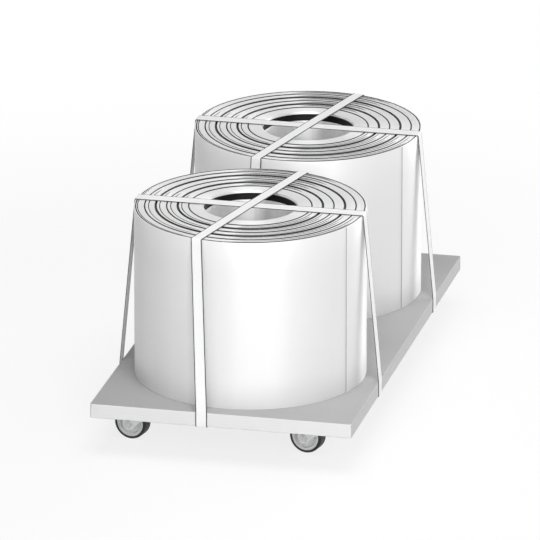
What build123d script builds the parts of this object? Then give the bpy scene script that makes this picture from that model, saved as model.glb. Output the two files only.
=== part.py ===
"""Two coils of aluminium gutter strip, strapped on end to a low dolly with four swivel casters.

Millimetres. +Z is up, the floor is z = 0, +Y runs along the deck and the front is towards -Y.
"""
import math
import os

from build123d import *

# Coils of gutter strip, standing on end
coil_diameter = 508.0
coil_bore = 203.2
strip_width = 381.0
coil_gap = 58.0             # between the two coils
# Lines on the coil's ends, where the winding opened a little between groups of turns
line_pitch = 24.0
plain_winding = 30.0        # round the bore, wound without such a line
wide_line = 5.5
narrow_line = 3.2
line_depth = 4.0

# Deck of the dolly
deck_side_margin = 36.0     # from the coils to the deck's long edges
deck_end_margin = 33.0      # from the coils to the deck's ends
deck_thickness = 32.0
deck_corner_radius = 4.0
deck_edge_round = 1.5

# Flat plastic straps
across_width = 34.0         # of the strap square to the deck's length
along_width = 26.0          # of the strap along the deck
strap_thickness = 1.2
strap_clearance = 0.15
strap_angle = 14.0          # of the lengthwise strap on the coil's top, off the deck's length
anchor_offset = 42.0        # from the deck's middle to where that strap crosses the deck's end
lap_length = 80.0           # welded overlap of the strap's ends, under the deck
hump_room = 8.0             # beside a strap that another passes over
slot_end_room = 4.0
slot_width = 9.0

# Swivel casters
caster_inset_x = 94.0       # swivel axis in from the deck's long edge
caster_inset_y = 148.0      # swivel axis in from the deck's end
caster_trail = 38.0
park_angle = -12.0          # how the casters stand when the dolly is parked
wheel_diameter = 75.0
wheel_width = 30.0
wheel_room = 5.6            # over the wheel, under the fork's crown
tyre_thickness = 6.0
tyre_shoulder = 4.0
rim_thickness = 6.0
rim_inset = 1.0             # of the rim's edge behind the tyre's
web_thickness = 10.0
web_blend = 2.0
hub_diameter = 26.0
hub_proud = 3.0             # of the tyre, each side
axle_diameter = 10.0
bolt_across_flats = 16.0
bolt_head_height = 6.0
bolt_end = 1.0              # of the shank past its nut
plate_length = 96.0
plate_width = 72.0
plate_thickness = 4.0
plate_corner_radius = 9.0
plate_hole_diameter = 8.5
plate_hole_inset = 11.0
race_top_diameter = 60.0
race_bottom_diameter = 54.0
race_height = 6.0
cup_wall = 2.5
cup_gap = 1.0               # of the dust cup from the race and the plate
pin_diameter = 12.0
pin_head_diameter = 22.0
pin_head_height = 5.0
fork_sheet = 4.0
fork_bend = 6.0
fork_crown_length = 58.0
fork_eye_radius = 14.0
swivel_gap = 0.4            # between the upper race and the fork, and over the pin's head
bore_clearance = 0.06       # radial, axle in its hub and pin in the fork
side_clearance = 0.5        # between the hub's ends and the fork's legs
seat_clearance = 0.02       # radial, tyre on its rim

# Sizes and heights worked out from these, from the floor up
coil_radius = coil_diameter / 2
coil_y = (coil_diameter + coil_gap) / 2
line_count = int((coil_radius - coil_bore / 2 - plain_winding) / line_pitch)
deck_width = coil_diameter + 2 * deck_side_margin
deck_length = 2 * coil_y + coil_diameter + 2 * deck_end_margin
deck_bottom = wheel_diameter + wheel_room + fork_sheet + swivel_gap + race_height + plate_thickness
deck_top = deck_bottom + deck_thickness
coil_top = deck_top + strip_width
wheel_radius = wheel_diameter / 2
rim_radius = wheel_radius - tyre_thickness
hub_length = wheel_width + 2 * hub_proud
half_turn = Rot(0, 0, 180)  # the rear coil's straps lie as the front coil's do, seen from the rear


def box_between(low, high):
    size = [b - a for a, b in zip(low, high)]
    centre = [(a + b) / 2 for a, b in zip(low, high)]
    return Pos(*centre) * Box(*size)


def turned(points, axis):
    """A solid of revolution of a closed outline, given as (radius, height) pairs in the XZ plane."""
    outline = make_face(Polyline([(r, 0, h) for r, h in points], close=True))
    return revolve(outline, axis=axis)


# Coils
def coil_end(height, inward):
    """Outline of one end from the bore to the rim, with a V-shaped line between groups of turns."""
    points = [(coil_bore / 2, height)]
    for i in range(line_count, 0, -1):
        radius = coil_radius - i * line_pitch
        half = (narrow_line if i % 2 else wide_line) / 2
        points += [(radius - half, height), (radius, height + inward * line_depth), (radius + half, height)]
    return points + [(coil_radius, height)]


def coil(y):
    lower = coil_end(0, 1)
    upper = coil_end(strip_width, -1)
    return Pos(0, y, deck_top) * turned(lower + upper[::-1], Axis.Z)


# Straps
def closed_strap(stations):
    """A flat band round a closed route, given as (point on its inner face, half width, layers) in turn.

    Corners are mitred, so that the band keeps its thickness, and each run's four faces are ruled
    from one cross-section to the next, so that a run may twist.
    """
    count = len(stations)
    points = [point for point, half, layers in stations]
    middle = sum(points, Vector(0, 0, 0)) / count
    normals = []
    for i, (point, half, layers) in enumerate(stations):
        run = points[(i + 1) % count] - point
        normal = half.cross(run).normalized()
        outward = point + run / 2 - middle
        normals.append(normal if normal.dot(outward) > 0 else normal * -1)
    sections = []
    for i, (point, half, layers) in enumerate(stations):
        before, after = normals[i - 1], normals[i]
        out = (before + after) * (layers * strap_thickness / (1 + before.dot(after)))
        sections.append((point - half, point + half, point + half + out, point - half + out))
    faces = []
    for here, there in zip(sections, sections[1:] + sections[:1]):
        for a, b in ((0, 1), (1, 2), (2, 3), (3, 0)):
            first = Edge.make_line(here[a], here[b])
            second = Edge.make_line(there[a], there[b])
            faces.append(Face.make_surface_from_curves(first, second))
    return Solid(Shell(faces))


def hump(start, end, share, rise, half):
    """Two stations that lift a run over the strap that crosses it at a share of its length."""
    run = end - start
    reach = run.normalized() * (across_width / 2 + hump_room)
    crossing = start + run * share + rise
    return [(crossing - reach, half, 1), (crossing + reach, half, 1)]


def welded_lap(start, end, half):
    """Stations of the overlap, two layers thick, halfway along a run."""
    run = (end - start).normalized()
    middle = (start + end) / 2
    inner, outer = lap_length / 2, lap_length / 2 + strap_thickness
    return [(middle + run * at, half, layers) for at, layers in ((-outer, 1), (-inner, 2), (inner, 2), (outer, 1))]


def strap_across(y):
    """Over the coil and under the deck, square to the deck's length."""
    half = Vector(0, across_width / 2, 0)
    rim = coil_radius + strap_clearance
    side = deck_width / 2 + strap_clearance
    above = coil_top + strap_clearance
    upper = deck_top + strap_clearance
    lower = deck_bottom - strap_clearance
    over = [Vector(-rim, y, above), Vector(rim, y, above), Vector(side, y, upper)]
    under = [Vector(side, y, lower), Vector(-side, y, lower)]
    stations = [(point, half, 1) for point in over]
    stations += [(under[0], half, 1), *welded_lap(Vector(0, y, lower), under[1], half), (under[1], half, 1)]
    return closed_strap(stations + [(Vector(-side, y, upper), half, 1)])


strap_turn = math.radians(strap_angle)
slot_middle = Vector(coil_y * math.tan(strap_turn), 0, 0)   # where the front coil's lengthwise strap comes up


def strap_along():
    """Over the front coil and its crosswise strap, round the deck's front edge and up through a slot."""
    along = Vector(math.sin(strap_turn), math.cos(strap_turn), 0)
    square = Vector(math.cos(strap_turn), -math.sin(strap_turn), 0) * (along_width / 2)
    flat = Vector(along_width / 2, 0, 0)
    up = Vector(0, 0, 1)
    rise = up * (strap_thickness + strap_clearance)

    top = Vector(0, -coil_y, coil_top + strap_clearance)
    rim_front = top - along * (coil_radius + strap_clearance)
    rim_back = top + along * (coil_radius + strap_clearance)
    slot_upper = slot_middle + up * deck_top
    slot_lower = slot_middle + up * (deck_bottom - strap_clearance)
    edge_y = -deck_length / 2 - strap_clearance
    edge_lower = Vector(-anchor_offset, edge_y, deck_bottom - strap_clearance)
    edge_upper = Vector(-anchor_offset, edge_y, deck_top + strap_clearance)
    crossing = (-coil_y - edge_y) / (slot_lower.Y - edge_y)
    over = hump(rim_front, rim_back, 0.5, rise, square)
    under = hump(edge_lower, slot_lower, crossing, rise * -1, square)

    stations = [(rim_front, square, 1), *over, (rim_back, square, 1)]
    stations += [(slot_upper, square, 1), (slot_lower, square, 1)]
    stations += [*welded_lap(slot_lower, under[1][0], square), *under[::-1]]
    return closed_strap(stations + [(edge_lower, flat, 1), (edge_upper, flat, 1)])


# Dolly deck
def deck():
    plate = box_between(
        (-deck_width / 2, -deck_length / 2, deck_bottom),
        (deck_width / 2, deck_length / 2, deck_top),
    )
    plate = fillet(plate.edges().filter_by(Axis.Z), deck_corner_radius)
    plate = fillet(plate.faces().sort_by(Axis.Z)[-1].edges(), deck_edge_round)
    plate = fillet(plate.faces().sort_by(Axis.Z)[0].edges(), deck_edge_round)
    outline = SlotOverall(along_width + 2 * slot_end_room, slot_width)
    slot = Pos(slot_middle) * Rot(0, 0, -strap_angle) * extrude(outline, amount=deck_top + deck_bottom)
    return plate - slot - half_turn * slot


# Casters, made about their swivel axis with z = 0 at the deck's underside
race_bottom = -plate_thickness - race_height
crown_top = race_bottom - swivel_gap
crown_bottom = crown_top - fork_sheet
axle_height = wheel_radius - deck_bottom
fork_inside = hub_length / 2 + side_clearance
fork_outside = fork_inside + fork_sheet
wheel_place = Pos(-caster_trail, 0, axle_height)
axle_line = Axis((-caster_trail, 0, axle_height), (0, 1, 0))


def caster_plate():
    plate = Pos(0, 0, -plate_thickness) * extrude(
        RectangleRounded(plate_length, plate_width, plate_corner_radius), amount=plate_thickness
    )
    pitch_x = plate_length - 2 * plate_hole_inset
    pitch_y = plate_width - 2 * plate_hole_inset
    for hole in GridLocations(pitch_x, pitch_y, 2, 2):
        plate -= hole * Cylinder(plate_hole_diameter / 2, 4 * plate_thickness)
    race = turned(
        [
            (0, -plate_thickness),
            (race_top_diameter / 2, -plate_thickness),
            (race_bottom_diameter / 2, race_bottom),
            (0, race_bottom),
        ],
        Axis.Z,
    )
    return plate + race


def king_pin():
    head_top = crown_bottom - swivel_gap
    head_bottom = head_top - pin_head_height
    head_round = pin_head_height / 2
    return turned(
        [
            (0, race_bottom),
            (pin_diameter / 2, race_bottom),
            (pin_diameter / 2, head_top),
            (pin_head_diameter / 2, head_top),
            (pin_head_diameter / 2, head_bottom + head_round),
            (pin_head_diameter / 2 - head_round, head_bottom),
            (0, head_bottom),
        ],
        Axis.Z,
    )


def fork():
    """A sheet bent over the wheel, trimmed to an eye at the axle, with a dust cup round the race."""
    lowest = axle_height - fork_eye_radius
    reach = caster_trail + fork_eye_radius + fork_crown_length
    bent = box_between((-reach, -fork_outside, lowest), (reach, fork_outside, crown_top))
    bent = fillet(bent.faces().sort_by(Axis.Z)[-1].edges().filter_by(Axis.X), fork_bend)
    inside = box_between((-2 * reach, -fork_inside, 2 * lowest), (2 * reach, fork_inside, crown_bottom))
    inside = fillet(inside.faces().sort_by(Axis.Z)[-1].edges().filter_by(Axis.X), fork_bend - fork_sheet)
    bent -= inside
    crown = Pos(0, (crown_top + crown_bottom) / 2) * Rectangle(fork_crown_length, fork_sheet)
    eye = Pos(-caster_trail, axle_height) * Circle(fork_eye_radius)
    blank = Plane.XZ * make_hull(crown.edges() + eye.edges())
    bent &= extrude(blank, amount=2 * fork_outside, both=True)
    cup_inside = race_top_diameter / 2 + cup_gap
    cup_top = -plate_thickness - cup_gap
    cup = turned(
        [
            (0, crown_bottom),
            (cup_inside + cup_wall, crown_bottom),
            (cup_inside + cup_wall, cup_top),
            (cup_inside, cup_top),
            (cup_inside, crown_top),
            (0, crown_top),
        ],
        Axis.Z,
    )
    bent += cup
    bent -= Pos(0, 0, crown_top) * Cylinder(pin_diameter / 2 + bore_clearance, 4 * fork_sheet)
    bent -= wheel_place * Rot(90, 0, 0) * Cylinder(axle_diameter / 2 + bore_clearance, 4 * fork_outside)
    return bent


def axle():
    """A bolt through both legs, with its nut."""
    shank = Rot(90, 0, 0) * Cylinder(axle_diameter / 2, 2 * (fork_outside + bolt_head_height + bolt_end))
    hexagon = RegularPolygon(bolt_across_flats / 2, 6, major_radius=False)
    head = extrude(hexagon, amount=bolt_head_height)
    seat = fork_outside
    front = Pos(0, -seat, 0) * Rot(90, 0, 0) * head
    back = Pos(0, seat, 0) * Rot(-90, 0, 0) * head
    return wheel_place * (shank + front + back)


def wheel_core():
    """Hub, web and rim turned in one piece."""
    bore = axle_diameter / 2 + bore_clearance
    hub, rim = hub_diameter / 2, rim_radius
    inner_rim = rim - rim_thickness
    edge = wheel_width / 2 - rim_inset
    web, end = web_thickness / 2, hub_length / 2
    half = [(bore, end), (hub, end), (hub + web_blend, web)]
    half += [(inner_rim - web_blend, web), (inner_rim, edge), (rim, edge)]
    outline = half + [(r, -h) for r, h in half[::-1]]
    return wheel_place * Rot(90, 0, 0) * turned(outline, Axis.Z)


def tyre():
    ring = Cylinder(wheel_radius, wheel_width)
    ring = fillet(ring.edges(), tyre_shoulder)
    ring -= Cylinder(rim_radius + seat_clearance, 2 * wheel_width)
    return wheel_place * Rot(90, 0, 0) * ring


pieces = {"deck": deck()}

pieces["coil_front"] = coil(-coil_y)
pieces["coil_rear"] = coil(coil_y)
pieces["strap_across_front"] = strap_across(-coil_y)
pieces["strap_along_front"] = strap_along()
pieces["strap_across_rear"] = half_turn * pieces["strap_across_front"]
pieces["strap_along_rear"] = half_turn * pieces["strap_along_front"]

caster_x = deck_width / 2 - caster_inset_x
caster_y = deck_length / 2 - caster_inset_y
corners = {
    "front_left": (-caster_x, -caster_y),
    "front_right": (caster_x, -caster_y),
    "rear_left": (-caster_x, caster_y),
    "rear_right": (caster_x, caster_y),
}
fixed = {"caster_plate": caster_plate(), "king_pin": king_pin()}
swivelling = {"fork": fork(), "axle": axle(), "wheel_core": wheel_core(), "tyre": tyre()}
for corner, (x, y) in corners.items():
    for name, shape in fixed.items():
        pieces[f"{name}_{corner}"] = Pos(x, y, deck_bottom) * shape
    for name, shape in swivelling.items():
        pieces[f"{name}_{corner}"] = Pos(x, y, deck_bottom) * Rot(0, 0, park_angle) * shape

os.makedirs("parts", exist_ok=True)
for name, shape in pieces.items():
    export_step(shape, f"parts/{name}.step")
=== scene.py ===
import math
import random

import bmesh
import bpy
from mathutils import Matrix, Vector


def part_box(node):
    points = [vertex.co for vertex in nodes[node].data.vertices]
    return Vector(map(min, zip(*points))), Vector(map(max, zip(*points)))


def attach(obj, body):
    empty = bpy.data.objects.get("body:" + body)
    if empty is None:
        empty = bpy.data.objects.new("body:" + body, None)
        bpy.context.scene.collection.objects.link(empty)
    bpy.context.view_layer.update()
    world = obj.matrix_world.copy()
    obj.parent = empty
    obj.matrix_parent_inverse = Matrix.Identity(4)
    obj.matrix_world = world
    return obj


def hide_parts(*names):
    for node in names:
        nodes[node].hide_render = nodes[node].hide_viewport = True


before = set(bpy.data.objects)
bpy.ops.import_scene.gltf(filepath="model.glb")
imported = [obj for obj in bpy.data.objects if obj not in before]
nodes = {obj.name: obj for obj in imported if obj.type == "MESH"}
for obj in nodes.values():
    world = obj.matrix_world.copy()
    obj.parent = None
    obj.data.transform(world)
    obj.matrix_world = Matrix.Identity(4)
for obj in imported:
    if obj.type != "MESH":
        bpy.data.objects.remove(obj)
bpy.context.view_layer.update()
corners = ("front_left", "front_right", "rear_left", "rear_right")
print("frame loaded:", len(nodes), "nodes")


# Camera at the drawing's angle
cameraView = {
    "azimuth": 13.056,        # degrees round from the deck's front
    "elevation": 19.179,
    "distance": 20.0,
    "lens": 603.0,
    "sensor": 36.0,
    "aim": (0.0, 0.0, 0.277),
    "slideRight": -0.0212,
    "slideUp": -0.0129,
    "farClip": 100.0,
}


def lookFrom(azimuth, elevation):
    turn, rise = math.radians(azimuth), math.radians(elevation)
    return Vector((math.sin(turn) * math.cos(rise), -math.cos(turn) * math.cos(rise), math.sin(rise)))


def makeCamera():
    back = lookFrom(cameraView["azimuth"], cameraView["elevation"])
    right = Vector((0.0, 0.0, 1.0)).cross(back).normalized()
    up = back.cross(right)
    aim = Vector(cameraView["aim"]) + right * cameraView["slideRight"] + up * cameraView["slideUp"]
    data = bpy.data.cameras.new("camera")
    data.lens = cameraView["lens"]
    data.sensor_width = cameraView["sensor"]
    data.clip_end = cameraView["farClip"]
    camera = bpy.data.objects.new("camera", data)
    camera.location = aim + back * cameraView["distance"]
    camera.rotation_euler = (-back).to_track_quat("-Z", "Y").to_euler()
    bpy.context.scene.collection.objects.link(camera)
    bpy.context.scene.camera = camera


makeCamera()
print("camera set")


# Small helpers for nodes
noiseSpan = (0.3, 0.7)        # where most of a noise lies


def setInputs(tree, made, inputs):        # a socket is linked, a plain value is set
    for key, value in inputs.items():
        if isinstance(value, bpy.types.NodeSocket):
            tree.links.new(value, made.inputs[key])
        else:
            made.inputs[key].default_value = value
    return made


def addNode(tree, kind, inputs=None, **props):
    made = tree.nodes.new("ShaderNode" + kind)
    for key, value in props.items():
        setattr(made, key, value)
    return setInputs(tree, made, inputs or {})


def maths(tree, operation, a, b=0.0):
    return addNode(tree, "Math", {0: a, 1: b}, operation=operation).outputs[0]


def weighed(tree, first, share, second):          # a share of the first, plus the second
    return maths(tree, "ADD", maths(tree, "MULTIPLY", first, share), second)


def mixed(tree, share, a, b):
    return addNode(tree, "Mix", {0: share, 6: a, 7: b}, data_type="RGBA").outputs[2]


def ranged(tree, value, low, high, first=0.0, last=1.0, smooth=True):
    kind = "SMOOTHSTEP" if smooth else "LINEAR"
    inputs = {"Value": value, "From Min": low, "From Max": high, "To Min": first, "To Max": last}
    return addNode(tree, "MapRange", inputs, interpolation_type=kind).outputs[0]


def spread(tree, noise, reach):           # a noise spread over the reach from low to high
    return ranged(tree, noise, *noiseSpan, *reach)


def scaled(tree, vector, scale):
    return addNode(tree, "VectorMath", {0: vector, 1: scale}, operation="MULTIPLY").outputs[0]


def shaded(tree, colour, tone):
    return addNode(tree, "VectorMath", {0: colour, "Scale": tone}, operation="SCALE").outputs[0]


def noised(tree, vector, scale, detail, roughness):
    inputs = {"Vector": vector, "Scale": scale, "Detail": detail, "Roughness": roughness}
    return addNode(tree, "TexNoise", inputs).outputs[0]


def grained(tree, vector, stretch, detail, roughness):
    return noised(tree, scaled(tree, vector, stretch), 1.0, detail, roughness)


def bumped(tree, height, strength, distance, normal=None):
    inputs = {"Height": height, "Strength": strength, "Distance": distance}
    if normal is not None:
        inputs["Normal"] = normal
    return addNode(tree, "Bump", inputs).outputs[0]


def grey(level):
    return (level, level, level, 1.0)


def newFinish(name):
    material = bpy.data.materials.new(name)
    material.use_nodes = True
    tree = material.node_tree
    return material, tree, tree.nodes["Principled BSDF"]


def newGroup(name, inputs, outputs):
    tree = bpy.data.node_groups.new(name, "ShaderNodeTree")
    for label, kind, value in inputs:
        socket = tree.interface.new_socket(name=label, in_out="INPUT", socket_type="NodeSocket" + kind)
        if value is not None:
            socket.default_value = value
    for label, kind in outputs:
        tree.interface.new_socket(name=label, in_out="OUTPUT", socket_type="NodeSocket" + kind)
    return tree, tree.nodes.new("NodeGroupInput").outputs, tree.nodes.new("NodeGroupOutput")


def placeGroup(tree, group, inputs):
    made = tree.nodes.new("ShaderNodeGroup")
    made.node_tree = group
    return setInputs(tree, made, inputs).outputs


# Effects that several finishes share; a noise is given as (scale or stretch, detail, roughness)
markLook = {
    "patchNoise": (4.0, 0.55),           # detail and roughness, because each finish sets the size
    "fineNoise": (3.0, 0.6),
    "scuffNoise": (5.0, 0.7),
    "fineRatio": 9.0,                    # fine marks to the length of a patch
    "scuffRatio": 3.0,
    "scuffStretch": (1.0, 7.0, 1.0),
    "scuffSpan": (0.62, 0.72),           # noise where a scuff begins and is full
    "scuffTone": grey(0.75),
    "patchShare": 0.7,
    "fineShare": 0.3,
}
edgeLook = {
    "samples": 6,
    "bendSpan": (0.99, 0.8),             # how alike the flat and the rounded normal are
    "wearSpan": (0.3, 0.6),
}


def makeHandlingGroup():
    group, given, out = newGroup(
        "handlingMarks",
        [("Vector", "Vector", None), ("Colour", "Color", grey(0.8)), ("Patch Size", "Float", 0.12),
         ("Amount", "Float", 0.06), ("Scuff Amount", "Float", 0.1)],
        [("Colour", "Color"), ("Height", "Float")],
    )
    frequency = maths(group, "DIVIDE", 1.0, given["Patch Size"])
    fineFrequency = maths(group, "MULTIPLY", frequency, markLook["fineRatio"])
    scuffFrequency = maths(group, "MULTIPLY", frequency, markLook["scuffRatio"])
    patches = noised(group, given["Vector"], frequency, *markLook["patchNoise"])
    fine = noised(group, given["Vector"], fineFrequency, *markLook["fineNoise"])
    fineBlotch = maths(group, "MULTIPLY", fine, markLook["fineShare"])
    blotch = weighed(group, patches, markLook["patchShare"], fineBlotch)
    swing = maths(group, "MULTIPLY", maths(group, "SUBTRACT", blotch, 0.5), given["Amount"])
    shade = maths(group, "ADD", 1.0, maths(group, "MULTIPLY", swing, 2.0))
    stretched = scaled(group, given["Vector"], markLook["scuffStretch"])
    lines = noised(group, stretched, scuffFrequency, *markLook["scuffNoise"])
    scuff = maths(group, "MULTIPLY", ranged(group, lines, *markLook["scuffSpan"]), given["Scuff Amount"])
    setInputs(group, out, {
        "Colour": mixed(group, scuff, shaded(group, given["Colour"], shade), markLook["scuffTone"]),
        "Height": maths(group, "SUBTRACT", fine, scuff),
    })
    return group


def makeEdgeGroup():
    group, given, out = newGroup(
        "roundedEdges",
        [("Radius", "Float", 0.002), ("Grain", "Float", 0.5)],
        [("Wear", "Float"), ("Normal", "Vector")],
    )
    soft = addNode(group, "Bevel", {"Radius": given["Radius"]}, samples=edgeLook["samples"]).outputs[0]
    flat = addNode(group, "NewGeometry").outputs["Normal"]
    alike = addNode(group, "VectorMath", {0: soft, 1: flat}, operation="DOT_PRODUCT").outputs["Value"]
    edge = ranged(group, alike, *edgeLook["bendSpan"])
    worn = ranged(group, maths(group, "MULTIPLY", edge, given["Grain"]), *edgeLook["wearSpan"])
    setInputs(group, out, {"Wear": worn, "Normal": soft})
    return group


handlingMarks = makeHandlingGroup()
roundedEdges = makeEdgeGroup()


def marked(tree, place, colour, marks):           # marks as (patch size, amount, scuffs)
    patch, amount, scuffs = marks
    return placeGroup(tree, handlingMarks, {
        "Vector": place, "Colour": colour, "Patch Size": patch, "Amount": amount, "Scuff Amount": scuffs,
    })


print("shared effects made")


# Small helpers for meshes
def linked(name, mesh, body):
    piece = bpy.data.objects.new(name, mesh)
    bpy.context.scene.collection.objects.link(piece)
    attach(piece, body)
    return piece


def loopGrid(name, columns):              # closed both ways: round the loop and round its section
    rows = len(columns[0])
    count = len(columns)
    points = [point for column in columns for point in column]
    faces = []
    for i in range(count):
        here, there = i * rows, ((i + 1) % count) * rows
        for j in range(rows):
            k = (j + 1) % rows
            faces.append((here + j, there + j, there + k, here + k))
    mesh = bpy.data.meshes.new(name)
    mesh.from_pydata(points, [], faces)
    return mesh


def smoothBy(mesh, degrees):
    shape = bmesh.new()
    shape.from_mesh(mesh)
    bmesh.ops.recalc_face_normals(shape, faces=shape.faces)
    shape.to_mesh(mesh)
    shape.free()
    mesh.shade_smooth()
    mesh.set_sharp_from_angle(angle=math.radians(degrees))


# Coils: one strip wound on itself, with its turns on the ends
coilLook = {
    "seeds": {"coil_front": 3, "coil_rear": 8},
    "facing": 13.056,         # degrees from the deck's right to the drawing's right, where angles start
    "bore": 0.2032,
    "linePitch": 0.024,       # between the open lines on an end
    "lineCount": 5,
    "wideLine": 0.0055,
    "narrowLine": 0.0032,
    "lineWiden": 1.4,         # the winding is looser towards the front and the back
    "lineDepth": 0.004,
    "rimLine": 0.0026,        # under the outermost turns
    "rimInset": 0.0046,
    "rimWiden": 0.9,
    "fineLines": (0.36, 0.5, 0.64),      # shares of a band, from its outer line
    "fineHalf": 0.0009,
    "fineShut": 0.25,         # share of its width that a shut line keeps
    "fineSoft": 7.0,          # degrees over which it opens
    "fineWiden": 0.35,
    "fineDepth": 0.003,
    "settle": 0.0003,         # how far a group of turns may sit low
    "settleEven": 0.6,        # share of it that is the same all round
    "rimRound": 0.0012,
    "rimMiddle": 0.3,         # share of the rounding left at its middle
    "stripStep": 0.0009,      # at the outer and the inner end of the strip
    "tailLift": 0.0005,       # of the outer end, off the turn below
    "tailReach": 6.0,         # degrees over which it lies down
    "tailShade": 0.035,       # how far into a gap the line under it is, which sets its painted shade
    "tailTurn": -35.0,        # degrees to the outer end
    "startTurn": 150.0,       # and to the inner end
    "endStep": 0.02,          # degrees each side of the strip's ends
    "steps": 300,
    "wallRows": 6,
    "sharpAngle": 28.0,
    "wallFacing": 0.9,        # how squarely a face of a wall looks in or out
    "sideReach": 0.0025,
    "boreReach": 0.002,
    "fineOpenings": (         # line, from and to in degrees (90 is the drawing's back), share of its width
        (0, 150.0, 238.0, 0.9),
        (0, 42.0, 92.0, 0.8),
        (1, 38.0, 97.0, 0.8),
        (2, 50.0, 100.0, 0.8),
        (0, -104.0, -28.0, 0.9),
        (2, -100.0, -18.0, 0.9),
    ),
}


def eased(value):
    value = min(1.0, max(0.0, value))
    return value * value * (3.0 - 2.0 * value)


def openShare(angle, start, end):
    middle, reach = (start + end) / 2, (end - start) / 2
    away = abs((angle - middle + 180.0) % 360.0 - 180.0)
    return eased((reach - away) / coilLook["fineSoft"])


def openLine(radius, width, widen):
    return {"radius": radius, "fine": None, "half": width / 2, "widen": widen}


def endLines(radius):
    lines = [openLine(radius - coilLook["rimInset"], coilLook["rimLine"], coilLook["rimWiden"])]
    pitch = coilLook["linePitch"]
    for i in range(coilLook["lineCount"]):
        outer = radius - i * pitch
        for k, share in enumerate(coilLook["fineLines"]):
            lines.append({"radius": outer - share * pitch, "fine": k})
        width = coilLook["wideLine"] if i % 2 else coilLook["narrowLine"]
        lines.append(openLine(outer - pitch, width, coilLook["lineWiden"]))
    return sorted(lines, key=lambda line: line["radius"])


def lineShape(line, angle):               # half its width, its depth and how far into a gap its bottom is
    across = math.sin(math.radians(angle)) ** 2
    if line["fine"] is None:
        return line["half"] * (1.0 + line["widen"] * across), coilLook["lineDepth"], 1.0
    share = 0.0
    for k, start, end, most in coilLook["fineOpenings"]:
        if k == line["fine"]:
            share = max(share, most * openShare(angle, start, end))
    half = coilLook["fineHalf"] * (coilLook["fineShut"] + share) * (1.0 + coilLook["fineWiden"] * across)
    return half, coilLook["fineDepth"] * share, share


def coilColumn(angle, radius, height, lines, settles):    # points as (radius, height, how far into a gap)
    step, rim, rows = coilLook["stripStep"], coilLook["rimRound"], coilLook["wallRows"]
    mid, wall = rim * coilLook["rimMiddle"], height - 2 * rim
    past = (angle - coilLook["tailTurn"]) % 360.0
    started = ((angle - coilLook["startTurn"]) % 360.0) / 360.0
    lift = coilLook["tailLift"] * max(0.0, 1.0 - past / coilLook["tailReach"]) ** 2
    outer = radius - step * past / 360.0 + lift
    inner = coilLook["bore"] / 2 + step * started
    profile = [(inner, rim, 0), (inner + mid, mid, 0), (inner + rim, 0.0, 0)]
    for line in lines:                    # the end that stands on the deck has the open lines only
        if line["fine"] is None:
            at, half = line["radius"], line["half"]
            profile += [(at - half, 0.0, 0), (at, coilLook["lineDepth"], 1), (at + half, 0.0, 0)]
    profile += [(outer - rim, 0.0, 0), (outer - mid, mid, 0)]
    atTail = min(past, 360.0 - past) < coilLook["endStep"] * 2
    shut = coilLook["tailShade"] if atTail else 0
    for i in range(rows + 1):
        profile.append((outer, rim + wall * i / rows, shut))
    profile += [(outer - mid, height - mid, 0), (outer - rim, height, 0)]
    low, even = 0.0, coilLook["settleEven"]
    for line, (settle, lowest) in zip(reversed(lines), settles):
        at = line["radius"]
        half, depth, gap = lineShape(line, angle)
        profile += [(at + half, height - low, 0), (at, height - low - depth, gap)]
        low = settle * (even + (1.0 - even) * math.cos(math.radians(angle - lowest)))
        profile.append((at - half, height - low, 0))
    profile += [(inner + rim, height, 0), (inner + mid, height - mid, 0), (inner, height - rim, 0)]
    for i in range(1, rows):
        profile.append((inner, height - rim - wall * i / rows, 0))
    return profile


def finishOf(face, radius):               # 0 is the side, 1 the ends and 2 the bore
    away = math.hypot(face.center.x, face.center.y)
    across = abs(face.normal.x * face.center.x + face.normal.y * face.center.y) / away
    if across > coilLook["wallFacing"]:
        if away > radius - coilLook["sideReach"]:
            return 0
        if away < coilLook["bore"] / 2 + coilLook["boreReach"]:
            return 2
    return 1


def makeCoil(node, seed, finishes):
    low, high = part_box(node)
    centre = Vector(((low.x + high.x) / 2, (low.y + high.y) / 2, low.z))
    radius, height = (high.x - low.x) / 2, high.z - low.z
    draw = random.Random(seed)
    lines = endLines(radius)
    settles = [(draw.uniform(0.0, coilLook["settle"]), draw.uniform(0.0, 360.0)) for line in lines]
    angles = [360.0 * i / coilLook["steps"] for i in range(coilLook["steps"])]
    for turn in (coilLook["tailTurn"], coilLook["startTurn"]):   # a sharp step at each end of the strip
        angles += [(turn - coilLook["endStep"]) % 360.0, (turn + coilLook["endStep"]) % 360.0]
    columns, gaps = [], []
    for angle in sorted(set(angles)):
        turned = math.radians(angle + coilLook["facing"])
        profile = coilColumn(angle, radius, height, lines, settles)
        columns.append([(r * math.cos(turned), r * math.sin(turned), z) for r, z, gap in profile])
        gaps += [gap for r, z, gap in profile]
    mesh = loopGrid(node + "_turns", columns)
    # each point's depth into a gap, which the ends' finish paints as shade
    mesh.attributes.new("gap", "FLOAT", "POINT").data.foreach_set("value", gaps)
    smoothBy(mesh, coilLook["sharpAngle"])
    for finish in finishes:
        mesh.materials.append(finish)
    for face in mesh.polygons:
        face.material_index = finishOf(face, radius)
    piece = linked(node + "_wound", mesh, "dolly")
    piece.location = centre
    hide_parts(node)


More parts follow.
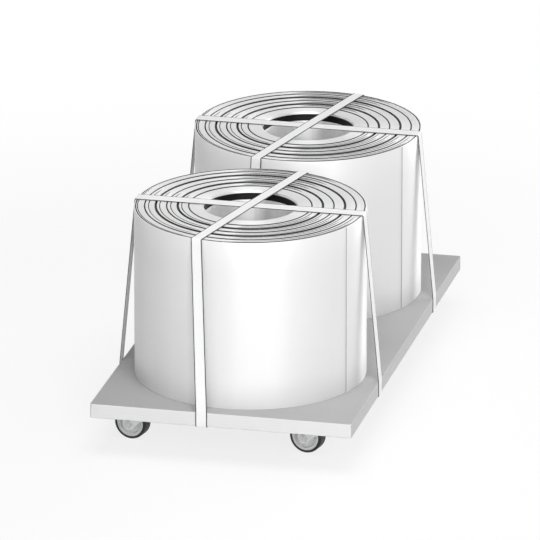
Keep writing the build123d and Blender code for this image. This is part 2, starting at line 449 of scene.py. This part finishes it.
# Finishes of the coil, about its own axis, with the strip's width along Z
stripLook = {
    "side": grey(0.86),
    "end": grey(0.85),
    # painted shade down in the gaps between turns and under the strip's outer end
    "gap": grey(0.012),
    "gapShadeFull": 0.06,                     # how far into a gap the painted shade is full
    "bore": grey(0.95),
    "boreStreak": grey(0.6),
    # painted shadow: a near-black band round the bore a little under its mouth
    "mouth": grey(0.004),
    "mouthShadeBand": (0.0055, 0.021),        # depths of the band of painted shadow under the bore's mouth
    "bandSoft": 0.0008,
    "sideMetal": 0.18,
    "endMetal": 0.24,
    "boreMetal": 0.85,
    "sideRough": (0.42, 0.50),
    "endRough": (0.56, 0.70),
    "boreRough": (0.45, 0.55),
    "boreSpecular": 0.2,
    "anisotropy": 0.8,
    "shineTurn": 0.25,                   # of a full turn, so that the shine runs square to the rolling
    "sideMarks": (0.15, 0.02, 0.03),
    "endMarks": (0.10, 0.03, 0.03),
    "rollNoise": ((2.0, 2.0, 220.0), 4.0, 0.6),        # lines along the strip
    "sideNoise": ((14.0, 14.0, 0.5), 2.0, 0.5),        # soft upright bands, as real waviness in the bump and as painted sheen in the colour
    "boreNoise": ((70.0, 70.0, 0.6), 2.0, 0.5),
    "sideSheenTone": (0.965, 1.0),
    "streakSpan": (0.52, 0.62),
    "streakShare": 0.12,
    "turnPitch": 0.0016,
    "groupRate": 420.0,                  # groups of turns in a metre
    "groupDetail": 3.0,
    "groupSpan": (0.35, 0.65),
    "groupTone": (0.90, 1.0),
    "rollRelief": 0.4,
    "turnRelief": 0.5,
    "sideBump": (0.12, 0.002),           # strength and depth
    "endBump": (0.35, 0.0006),
    "boreBump": (0.1, 0.001),
}


def rolledShine(tree, shader):
    tangent = addNode(tree, "Tangent", direction_type="RADIAL", axis="Z").outputs[0]
    setInputs(tree, shader, {
        "Tangent": tangent,
        "Anisotropic": stripLook["anisotropy"],
        "Anisotropic Rotation": stripLook["shineTurn"],
    })


def makeStripSide():
    material, tree, shader = newFinish("strip_side")
    place = addNode(tree, "TexCoord").outputs["Object"]
    rolled = grained(tree, place, *stripLook["rollNoise"])
    bands = grained(tree, place, *stripLook["sideNoise"])
    marks = marked(tree, place, stripLook["side"], stripLook["sideMarks"])
    relief = weighed(tree, rolled, stripLook["rollRelief"], bands)
    # the upright bands also shift the colour: painted sheen
    setInputs(tree, shader, {
        "Base Color": shaded(tree, marks["Colour"], spread(tree, bands, stripLook["sideSheenTone"])),
        "Roughness": spread(tree, rolled, stripLook["sideRough"]),
        "Metallic": stripLook["sideMetal"],
        "Normal": bumped(tree, relief, *stripLook["sideBump"]),
    })
    rolledShine(tree, shader)
    return material


def makeStripEnds():
    material, tree, shader = newFinish("strip_ends")
    place = addNode(tree, "TexCoord").outputs["Object"]
    level = scaled(tree, place, (1.0, 1.0, 0.0))
    away = addNode(tree, "VectorMath", {0: level}, operation="LENGTH").outputs["Value"]
    turns = maths(tree, "MULTIPLY", away, 1.0 / stripLook["turnPitch"])
    wave = maths(tree, "PINGPONG", turns, 0.5)
    groupPlace = maths(tree, "MULTIPLY", away, stripLook["groupRate"])
    groups = addNode(tree, "TexNoise", {"W": groupPlace, "Detail": stripLook["groupDetail"]},
                     noise_dimensions="1D").outputs[0]
    marks = marked(tree, place, stripLook["end"], stripLook["endMarks"])
    tone = ranged(tree, groups, *stripLook["groupSpan"], *stripLook["groupTone"])
    # the gaps are painted dark and lose their metal: painted shade
    gap = addNode(tree, "Attribute", attribute_name="gap").outputs["Fac"]
    gapShade = ranged(tree, gap, 0.0, stripLook["gapShadeFull"])
    relief = weighed(tree, wave, stripLook["turnRelief"], groups)
    setInputs(tree, shader, {
        "Base Color": mixed(tree, gapShade, shaded(tree, marks["Colour"], tone), stripLook["gap"]),
        "Roughness": spread(tree, groups, stripLook["endRough"]),
        "Metallic": ranged(tree, gapShade, 0.0, 1.0, stripLook["endMetal"], 0.0),
        "Normal": bumped(tree, relief, *stripLook["endBump"]),
    })
    rolledShine(tree, shader)
    return material


def makeBoreWall(height):
    material, tree, shader = newFinish("bore_wall")
    place = addNode(tree, "TexCoord").outputs["Object"]
    depth = maths(tree, "SUBTRACT", height, addNode(tree, "SeparateXYZ", {0: place}).outputs[2])
    rolled = grained(tree, place, *stripLook["rollNoise"])
    upright = grained(tree, place, *stripLook["boreNoise"])
    streak = ranged(tree, upright, *stripLook["streakSpan"], 0.0, stripLook["streakShare"])
    light = mixed(tree, streak, stripLook["bore"], stripLook["boreStreak"])
    # the band under the mouth is painted shadow: near-black and without metal
    (start, end), soft = stripLook["mouthShadeBand"], stripLook["bandSoft"]
    begun = ranged(tree, depth, start - soft, start + soft)
    band = maths(tree, "MULTIPLY", begun, ranged(tree, depth, end - soft, end + soft, 1.0, 0.0))
    setInputs(tree, shader, {
        "Base Color": mixed(tree, band, light, stripLook["mouth"]),
        "Roughness": spread(tree, rolled, stripLook["boreRough"]),
        "Metallic": ranged(tree, band, 0.0, 1.0, stripLook["boreMetal"], 0.0),
        "Normal": bumped(tree, rolled, *stripLook["boreBump"]),
        "Specular IOR Level": stripLook["boreSpecular"],
    })
    rolledShine(tree, shader)
    return material


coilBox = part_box("coil_front")
stripWidth = coilBox[1].z - coilBox[0].z
stripFinishes = (makeStripSide(), makeStripEnds(), makeBoreWall(stripWidth))
for node, seed in coilLook["seeds"].items():
    makeCoil(node, seed, stripFinishes)
print("coils wound")


# Straps: flat corded bands, drawn tight round a coil and the deck
strapLook = {
    "acrossWidth": 0.034,
    "alongWidth": 0.026,
    "thickness": 0.0012,
    "clearance": 0.00015,
    "angle": 14.0,            # lengthwise strap on the coil's top, off the deck's length
    "anchorOffset": 0.042,    # from the deck's middle to where it crosses the deck's end
    "lapLength": 0.080,
    "humpRoom": 0.008,
    "bendRadius": 0.0014,
    "bendSteps": 6,
    "leastBend": 3.0,         # degrees; a smaller turn isn't rounded
    "runStep": 0.030,
    "cordPitch": 0.002,
    "cordDepth": 0.00012,
    "sharpAngle": 50.0,
    "band": grey(0.99),
    # painted shade: dark lines along both edges of each strap
    "edgeShade": grey(0.05),
    "edgeShadeWidth": 0.0022,
    "edgeShadeSoft": 0.0001,
    "marks": (0.08, 0.02, 0.02),
    "weftNoise": ((160.0, 900.0, 1.0), 2.0, 0.5),
    "pickRate": 180.0,        # picks are the threads across the strap
    "pickBend": 0.6,
    "pickDetail": 1.0,
    "pickShare": 0.5,
    "weaveSpan": (0.4, 1.1),
    "weaveTone": (0.94, 1.0),
    "rough": (0.52, 0.64),
    "bump": (0.25, 0.0003),
}


def bendStations(before, corner, after):          # a station is (middle, half the width, layers)
    point, half, layers = corner
    enter, leave = (point - before[0]).normalized(), (after[0] - point).normalized()
    turn = enter.angle(leave)
    if turn < math.radians(strapLook["leastBend"]):
        return [corner]
    radius, steps = strapLook["bendRadius"], strapLook["bendSteps"]
    start = point - enter * (radius * math.tan(turn / 2))
    inward = (leave - enter * math.cos(turn)) / math.sin(turn)
    found = []
    for i in range(steps + 1):
        part = turn * i / steps
        ahead, aside = radius * math.sin(part), radius * (1 - math.cos(part))
        found.append((start + enter * ahead + inward * aside, half, layers))
    return found


def strapStations(route):
    bends = []
    for i, corner in enumerate(route):
        bends.append(bendStations(route[i - 1], corner, route[(i + 1) % len(route)]))
    stations = []
    for here, there in zip(bends, bends[1:] + bends[:1]):
        stations += here
        (first, firstHalf, firstLayers), (last, lastHalf, lastLayers) = here[-1], there[0]
        count = int((last - first).length / strapLook["runStep"])
        for i in range(1, count + 1):
            share = i / (count + 1)
            layers = firstLayers + (lastLayers - firstLayers) * share
            stations.append((first.lerp(last, share), firstHalf.lerp(lastHalf, share), layers))
    return stations


def strapSection(width, thickness):
    edge = thickness / 2
    flat = width / 2 - edge
    cords = int(round(width / strapLook["cordPitch"]))
    edgeTurns = (math.pi / 4, math.pi / 2, 3 * math.pi / 4)
    section = [(-flat, 0.0), (flat, 0.0)]
    section += [(flat + edge * math.sin(a), edge - edge * math.cos(a)) for a in edgeTurns]
    for i in range(2 * cords + 1):
        dip = strapLook["cordDepth"] if i % 2 == 0 else 0.0
        section.append((flat - 2 * flat * i / (2 * cords), thickness - dip))
    section += [(-flat - edge * math.sin(a), edge - edge * math.cos(a)) for a in reversed(edgeTurns)]
    return section


def makeStrap(node, route, width, material):
    stations = strapStations(route)
    section = strapSection(width, strapLook["thickness"])
    middle = sum((point for point, half, layers in stations), Vector()) / len(stations)
    columns, lengths = [], [0.0]
    for i, (point, half, layers) in enumerate(stations):
        after = stations[(i + 1) % len(stations)][0]
        run = (after - point).normalized() + (point - stations[i - 1][0]).normalized()
        side = half.normalized()
        out = side.cross(run).normalized()
        if out.dot(point - middle) < 0:
            out = -out
        columns.append([point + side * w + out * (n * layers) for w, n in section])
        lengths.append(lengths[-1] + (after - point).length)
    mesh = loopGrid(node + "_band", columns)
    layer = mesh.uv_layers.new(name="along")      # across and along the strap, in metres
    rows = len(section)
    for face in mesh.polygons:
        column = face.index // rows
        for corner in face.loop_indices:
            vertex = mesh.loops[corner].vertex_index
            at = column if vertex // rows == column else column + 1
            layer.data[corner].uv = (section[vertex % rows][0], lengths[at])
    smoothBy(mesh, strapLook["sharpAngle"])
    mesh.materials.append(material)
    piece = linked(node + "_band", mesh, "dolly")
    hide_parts(node)


def lapStations(start, end, half):
    run, middle = (end - start).normalized(), (start + end) / 2
    inner = strapLook["lapLength"] / 2
    outer = inner + strapLook["thickness"]
    steps = ((-outer, 1), (-inner, 2), (inner, 2), (outer, 1))
    return [(middle + run * at, half, layers) for at, layers in steps]


def humpStations(crossing, run, half):
    reach = run.normalized() * (strapLook["acrossWidth"] / 2 + strapLook["humpRoom"])
    return [(crossing - reach, half, 1), (crossing + reach, half, 1)]


def acrossRoute():
    coilLow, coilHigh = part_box("coil_front")
    deckLow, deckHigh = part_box("deck")
    gap = strapLook["clearance"]
    y = (coilLow.y + coilHigh.y) / 2
    half = Vector((0.0, strapLook["acrossWidth"] / 2, 0.0))
    above, upper, lower = coilHigh.z + gap, deckHigh.z + gap, deckLow.z - gap
    rim, side = coilHigh.x + gap, deckHigh.x + gap
    route = [(Vector((-rim, y, above)), half, 1), (Vector((rim, y, above)), half, 1)]
    route += [(Vector((side, y, upper)), half, 1), (Vector((side, y, lower)), half, 1)]
    route += lapStations(Vector((0.0, y, lower)), Vector((-side, y, lower)), half)
    return route + [(Vector((-side, y, lower)), half, 1), (Vector((-side, y, upper)), half, 1)]


def alongRoute():
    coilLow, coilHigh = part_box("coil_front")
    deckLow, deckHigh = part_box("deck")
    gap = strapLook["clearance"]
    turn = math.radians(strapLook["angle"])
    run = Vector((math.sin(turn), math.cos(turn), 0.0))
    square = Vector((math.cos(turn), -math.sin(turn), 0.0)) * (strapLook["alongWidth"] / 2)
    flat = Vector((strapLook["alongWidth"] / 2, 0.0, 0.0))
    rise = Vector((0.0, 0.0, strapLook["thickness"] + gap))
    y = (coilLow.y + coilHigh.y) / 2
    top = Vector((0.0, y, coilHigh.z + gap))
    reach = coilHigh.x + gap
    slot = Vector((-y * math.tan(turn), 0.0, 0.0))
    slotUpper = slot + Vector((0.0, 0.0, deckHigh.z))
    slotLower = slot + Vector((0.0, 0.0, deckLow.z - gap))
    edgeLower = Vector((-strapLook["anchorOffset"], deckLow.y - gap, deckLow.z - gap))
    edgeUpper = Vector((-strapLook["anchorOffset"], deckLow.y - gap, deckHigh.z + gap))
    under = slotLower - edgeLower
    crossing = edgeLower + under * ((y - edgeLower.y) / under.y) - rise
    humpOver = humpStations(top + rise, run, square)
    humpUnder = humpStations(crossing, under, square)
    route = [(top - run * reach, square, 1), *humpOver, (top + run * reach, square, 1)]
    route += [(slotUpper, square, 1), (slotLower, square, 1)]
    route += [*lapStations(slotLower, humpUnder[1][0], square), *humpUnder[::-1]]
    return route + [(edgeLower, flat, 1), (edgeUpper, flat, 1)]


def halfTurned(route):
    turn = Matrix.Rotation(math.pi, 3, "Z")
    return [(turn @ point, turn @ half, layers) for point, half, layers in route]


def makeStrapBand(name, width):
    material, tree, shader = newFinish(name)
    place = addNode(tree, "UVMap", uv_map="along").outputs[0]
    body = addNode(tree, "TexCoord").outputs["Object"]
    weft = grained(tree, place, *strapLook["weftNoise"])
    waves = {
        "Vector": place, "Scale": strapLook["pickRate"], "Distortion": strapLook["pickBend"],
        "Detail": strapLook["pickDetail"],
    }
    picks = addNode(tree, "TexWave", waves, wave_type="BANDS", bands_direction="Y").outputs[1]
    weave = weighed(tree, picks, strapLook["pickShare"], weft)
    tone = ranged(tree, weave, *strapLook["weaveSpan"], *strapLook["weaveTone"])
    marks = marked(tree, body, strapLook["band"], strapLook["marks"])
    across = maths(tree, "ABSOLUTE", addNode(tree, "SeparateXYZ", {0: place}).outputs[0])
    # dark lines along the strap's edges: painted shade
    inside, soft = width / 2 - strapLook["edgeShadeWidth"], strapLook["edgeShadeSoft"]
    shadedEdge = ranged(tree, across, inside - soft, inside + soft)
    setInputs(tree, shader, {
        "Base Color": mixed(tree, shadedEdge, shaded(tree, marks["Colour"], tone), strapLook["edgeShade"]),
        "Roughness": spread(tree, weft, strapLook["rough"]),
        "Normal": bumped(tree, weave, *strapLook["bump"]),
    })
    return material


for way, route in (("across", acrossRoute()), ("along", alongRoute())):
    width = strapLook[way + "Width"]
    band = makeStrapBand("strap_band_" + way, width)
    makeStrap(f"strap_{way}_front", route, width, band)
    makeStrap(f"strap_{way}_rear", halfTurned(route), width, band)
print("straps drawn")


# A node that keeps its shape gets a new finish
def dress(node, material):
    mesh = nodes[node].data
    mesh.materials.clear()
    mesh.materials.append(material)


# Deck: painted ply, paler on its edges; its top, ends and long edges each take a tone of painted light
deckLook = {
    # painted light: each face of the deck takes a tone by which way it looks, the top darkest
    "top": grey(0.44),
    "end": grey(0.83),        # faces of the deck's two ends, painted lightest
    "side": grey(0.62),       # and of its long edges, painted light between the two
    "worn": grey(0.74),
    "facing": (0.55, 0.85),   # how squarely a face looks one way before it takes that colour
    "marks": (0.12, 0.05, 0.06),
    "plyPitch": 0.0029,
    "plySpan": (0.2, 0.8),
    "plyTone": (0.975, 1.0),
    "stippleNoise": (420.0, 2.0, 0.5),
    "grainNoise": ((60.0, 5.0, 60.0), 4.0, 0.6),
    "edgeRadius": 0.0025,
    "edgeGrain": (0.2, 1.0),
    "wearShare": 0.5,
    "relief": 0.6,
    "rough": (0.58, 0.72),
    "specular": 0.12,
    "bump": (0.15, 0.0006),
}


def makeFaceLitDeckPaint():
    material, tree, shader = newFinish("deck_paint")
    coords = addNode(tree, "TexCoord").outputs
    place = coords["Object"]
    facing = addNode(tree, "SeparateXYZ", {0: coords["Normal"]}).outputs
    level = ranged(tree, maths(tree, "ABSOLUTE", facing[2]), *deckLook["facing"])
    lengthwise = ranged(tree, maths(tree, "ABSOLUTE", facing[0]), *deckLook["facing"])
    height = addNode(tree, "SeparateXYZ", {0: place}).outputs[2]
    plies = maths(tree, "PINGPONG", maths(tree, "MULTIPLY", height, 1.0 / deckLook["plyPitch"]), 1.0)
    plyTone = ranged(tree, plies, *deckLook["plySpan"], *deckLook["plyTone"])
    stipple = noised(tree, place, *deckLook["stippleNoise"])
    grain = grained(tree, place, *deckLook["grainNoise"])
    marks = marked(tree, place, deckLook["top"], deckLook["marks"])
    edges = placeGroup(tree, roundedEdges, {
        "Radius": deckLook["edgeRadius"], "Grain": spread(tree, grain, deckLook["edgeGrain"]),
    })
    # painted light by face: the ends palest, the long edges less so, the top darkest
    side = shaded(tree, mixed(tree, lengthwise, deckLook["end"], deckLook["side"]), plyTone)
    faceLitPaint = mixed(tree, level, side, marks["Colour"])
    worn = maths(tree, "MULTIPLY", edges["Wear"], deckLook["wearShare"])
    relief = weighed(tree, stipple, deckLook["relief"], maths(tree, "MULTIPLY", grain, deckLook["relief"]))
    setInputs(tree, shader, {
        "Base Color": mixed(tree, worn, faceLitPaint, deckLook["worn"]),
        "Roughness": spread(tree, stipple, deckLook["rough"]),
        "Normal": bumped(tree, relief, *deckLook["bump"], edges["Normal"]),
        "Specular IOR Level": deckLook["specular"],
    })
    return material


dress("deck", makeFaceLitDeckPaint())
print("deck painted")


# Casters: zinc-plated pressings, white cores and black treads
zincLook = {
    "sheet": (0.80, 0.81, 0.82, 1.0),
    "bolt": (0.66, 0.67, 0.68, 1.0),
    "worn": grey(0.85),
    "sheetRough": 0.34,
    "boltRough": 0.28,
    "flakeRough": 0.12,       # added on the roughest flakes
    "flakeRate": 240.0,
    "flakeTone": (0.9, 1.0),
    "metallic": 0.6,
    "marks": (0.03, 0.08, 0.08),
    "edges": {"Radius": 0.0006, "Grain": 0.8},
    "wearShare": 0.4,
    "bump": (0.08, 0.0005),
}


def makeZinc(name, colour, roughness):
    material, tree, shader = newFinish(name)
    place = addNode(tree, "TexCoord").outputs["Object"]
    spangle = addNode(tree, "TexVoronoi", {"Vector": place, "Scale": zincLook["flakeRate"]}).outputs["Color"]
    flake = addNode(tree, "SeparateXYZ", {0: spangle}).outputs[0]
    marks = marked(tree, place, colour, zincLook["marks"])
    edges = placeGroup(tree, roundedEdges, zincLook["edges"])
    plated = shaded(tree, marks["Colour"], ranged(tree, flake, 0.0, 1.0, *zincLook["flakeTone"]))
    worn = maths(tree, "MULTIPLY", edges["Wear"], zincLook["wearShare"])
    setInputs(tree, shader, {
        "Base Color": mixed(tree, worn, plated, zincLook["worn"]),
        "Roughness": ranged(tree, flake, 0.0, 1.0, roughness, roughness + zincLook["flakeRough"]),
        "Metallic": zincLook["metallic"],
        "Normal": bumped(tree, marks["Height"], *zincLook["bump"], edges["Normal"]),
    })
    return material


wheelLook = {
    "core": grey(0.95),
    "coreMarks": (0.02, 0.04, 0.05),
    "coreNoise": (900.0, 2.0, 0.6),
    "coreRough": (0.36, 0.5),
    "coreBump": (0.1, 0.0003),
    "coreEdges": {"Radius": 0.001, "Grain": 0.5},
    "tread": grey(0.014),
    "dust": grey(0.16),
    "dustNoise": (60.0, 4.0, 0.6),
    "dustSpan": (0.5, 0.75),
    "dustShare": 0.22,
    "treadNoise": (600.0, 3.0, 0.6),
    "treadRough": (0.5, 0.72),
    "treadBump": (0.2, 0.0004),
}


def makeCore():
    material, tree, shader = newFinish("wheel_core_white")
    place = addNode(tree, "TexCoord").outputs["Object"]
    grain = noised(tree, place, *wheelLook["coreNoise"])
    marks = marked(tree, place, wheelLook["core"], wheelLook["coreMarks"])
    edges = placeGroup(tree, roundedEdges, wheelLook["coreEdges"])
    setInputs(tree, shader, {
        "Base Color": marks["Colour"],
        "Roughness": spread(tree, grain, wheelLook["coreRough"]),
        "Normal": bumped(tree, grain, *wheelLook["coreBump"], edges["Normal"]),
    })
    return material


def makeTread():
    material, tree, shader = newFinish("tyre_black")
    place = addNode(tree, "TexCoord").outputs["Object"]
    grain = noised(tree, place, *wheelLook["treadNoise"])
    patches = noised(tree, place, *wheelLook["dustNoise"])
    dusty = ranged(tree, patches, *wheelLook["dustSpan"], 0.0, wheelLook["dustShare"])
    setInputs(tree, shader, {
        "Base Color": mixed(tree, dusty, wheelLook["tread"], wheelLook["dust"]),
        "Roughness": spread(tree, grain, wheelLook["treadRough"]),
        "Normal": bumped(tree, grain, *wheelLook["treadBump"]),
    })
    return material


screwLook = {
    "head": 0.013,            # across flats
    "headHeight": 0.0053,
    "washer": 0.0165,
    "washerHeight": 0.0012,
    "washerSides": 24,
    "taper": 0.94,            # of the lower face
    "plateThickness": 0.004,
    "holeInset": 0.011,
    "sharpAngle": 30.0,
}


def addDisc(shape, place, sides, across, top, bottom):    # top and bottom are heights from the place
    made = bmesh.ops.create_cone(
        shape, cap_ends=True, segments=sides, radius1=across / 2 * screwLook["taper"], radius2=across / 2,
        depth=top - bottom)
    bmesh.ops.translate(shape, verts=made["verts"], vec=place + Vector((0.0, 0.0, (top + bottom) / 2)))


def screwMesh(name, places):              # a washer and a hexagon head hang from each place
    under = -screwLook["washerHeight"]
    overCorners = screwLook["head"] / math.cos(math.pi / 6)
    shape = bmesh.new()
    for place in places:
        addDisc(shape, place, screwLook["washerSides"], screwLook["washer"], 0.0, under)
        addDisc(shape, place, 6, overCorners, under, under - screwLook["headHeight"])
    mesh = bpy.data.meshes.new(name)
    shape.to_mesh(mesh)
    shape.free()
    smoothBy(mesh, screwLook["sharpAngle"])
    return mesh


def dressCasters():
    sheet = makeZinc("zinc_sheet", zincLook["sheet"], zincLook["sheetRough"])
    bolt = makeZinc("zinc_bolt", zincLook["bolt"], zincLook["boltRough"])
    finishes = {
        "caster_plate_": sheet, "fork_": sheet, "king_pin_": bolt, "axle_": bolt,
        "wheel_core_": makeCore(), "tyre_": makeTread(),
    }
    inset = screwLook["holeInset"]
    for corner in corners:
        for piece, finish in finishes.items():
            dress(piece + corner, finish)
        low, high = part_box("caster_plate_" + corner)
        face = high.z - screwLook["plateThickness"]
        rows, files = (low.x + inset, high.x - inset), (low.y + inset, high.y - inset)
        mesh = screwMesh("plate_screws_" + corner, [Vector((x, y, face)) for x in rows for y in files])
        mesh.materials.append(bolt)
        linked("plate_screws_" + corner, mesh, "dolly")


dressCasters()
print("casters dressed")


# Pale floor, white surroundings and soft lamps
studio = {
    "floorSize": 30.0,
    "floorBounce": grey(0.75),           # the floor as it lights the load
    "floorShade": 0.2,                   # how much of the shadow the floor keeps
    "shadeNear": 0.9,                    # full up to here
    "shadeReach": 2.2,
    "worldLevel": 0.13,
    "lamps": (                           # name, azimuth, elevation, distance, width, height, power
        ("key", 18.0, 24.0, 5.0, 4.4, 1.2, 62.0),
        ("low", 26.0, 5.0, 5.0, 4.4, 0.8, 46.0),         # reaches the wheels
        ("rim", 150.0, 14.0, 5.0, 3.6, 3.6, 165.0),
        ("top", 15.0, 62.0, 5.0, 3.0, 3.0, 148.0),
    ),
    "aim": (0.0, 0.0, 0.3),
}


def shownTo(tree):            # what the camera sees, straight on, in a shiny face or through a clear one
    path = addNode(tree, "LightPath").outputs
    either = maths(tree, "MAXIMUM", path["Is Camera Ray"], path["Is Glossy Ray"])
    return maths(tree, "MAXIMUM", either, path["Is Transmission Ray"])


def makeFloorWhite():
    material = bpy.data.materials.new("floor_white")
    material.use_nodes = True
    tree = material.node_tree
    tree.nodes.clear()
    place = addNode(tree, "TexCoord").outputs["Object"]
    away = addNode(tree, "VectorMath", {0: place}, operation="LENGTH").outputs["Value"]
    matt = addNode(tree, "BsdfDiffuse", {"Color": studio["floorBounce"]}).outputs[0]
    pale = addNode(tree, "BsdfDiffuse", {"Color": grey(1.0)}).outputs[0]
    white = addNode(tree, "Emission", {"Color": grey(1.0), "Strength": 1.0}).outputs[0]
    near = ranged(tree, away, studio["shadeNear"], studio["shadeReach"], studio["floorShade"], 0.0)
    shown = addNode(tree, "MixShader", {0: near, 1: white, 2: pale}).outputs[0]
    lit = addNode(tree, "MixShader", {0: shownTo(tree), 1: matt, 2: shown}).outputs[0]
    clear = addNode(tree, "BsdfTransparent").outputs[0]
    below = addNode(tree, "NewGeometry").outputs["Backfacing"]
    both = addNode(tree, "MixShader", {0: below, 1: lit, 2: clear}).outputs[0]
    addNode(tree, "OutputMaterial", {"Surface": both})
    return material


def makeFloor():
    half = studio["floorSize"] / 2
    outline = [(-half, -half, 0), (half, -half, 0), (half, half, 0), (-half, half, 0)]
    mesh = bpy.data.meshes.new("floor")
    mesh.from_pydata(outline, [], [(0, 1, 2, 3)])
    mesh.materials.append(makeFloorWhite())
    floor = bpy.data.objects.new("floor", mesh)
    bpy.context.scene.collection.objects.link(floor)


def makeWorld():
    world = bpy.data.worlds.new("white_room")
    bpy.context.scene.world = world
    world.use_nodes = True
    tree = world.node_tree
    strength = ranged(tree, shownTo(tree), 0.0, 1.0, studio["worldLevel"], 1.0, smooth=False)
    setInputs(tree, tree.nodes["Background"], {"Color": grey(1.0), "Strength": strength})


def makeLamps():
    aim = Vector(studio["aim"])
    for name, azimuth, elevation, distance, width, height, power in studio["lamps"]:
        data = bpy.data.lights.new(name, "AREA")
        data.shape = "RECTANGLE"
        data.size = width
        data.size_y = height
        data.energy = power
        lamp = bpy.data.objects.new(name, data)
        toLamp = lookFrom(azimuth, elevation)
        lamp.location = aim + toLamp * distance
        lamp.rotation_euler = (-toLamp).to_track_quat("-Z", "Y").to_euler()
        lamp.visible_camera = False
        bpy.context.scene.collection.objects.link(lamp)


makeFloor()
makeWorld()
makeLamps()
bpy.context.scene.view_settings.view_transform = "Standard"
print("studio lit")
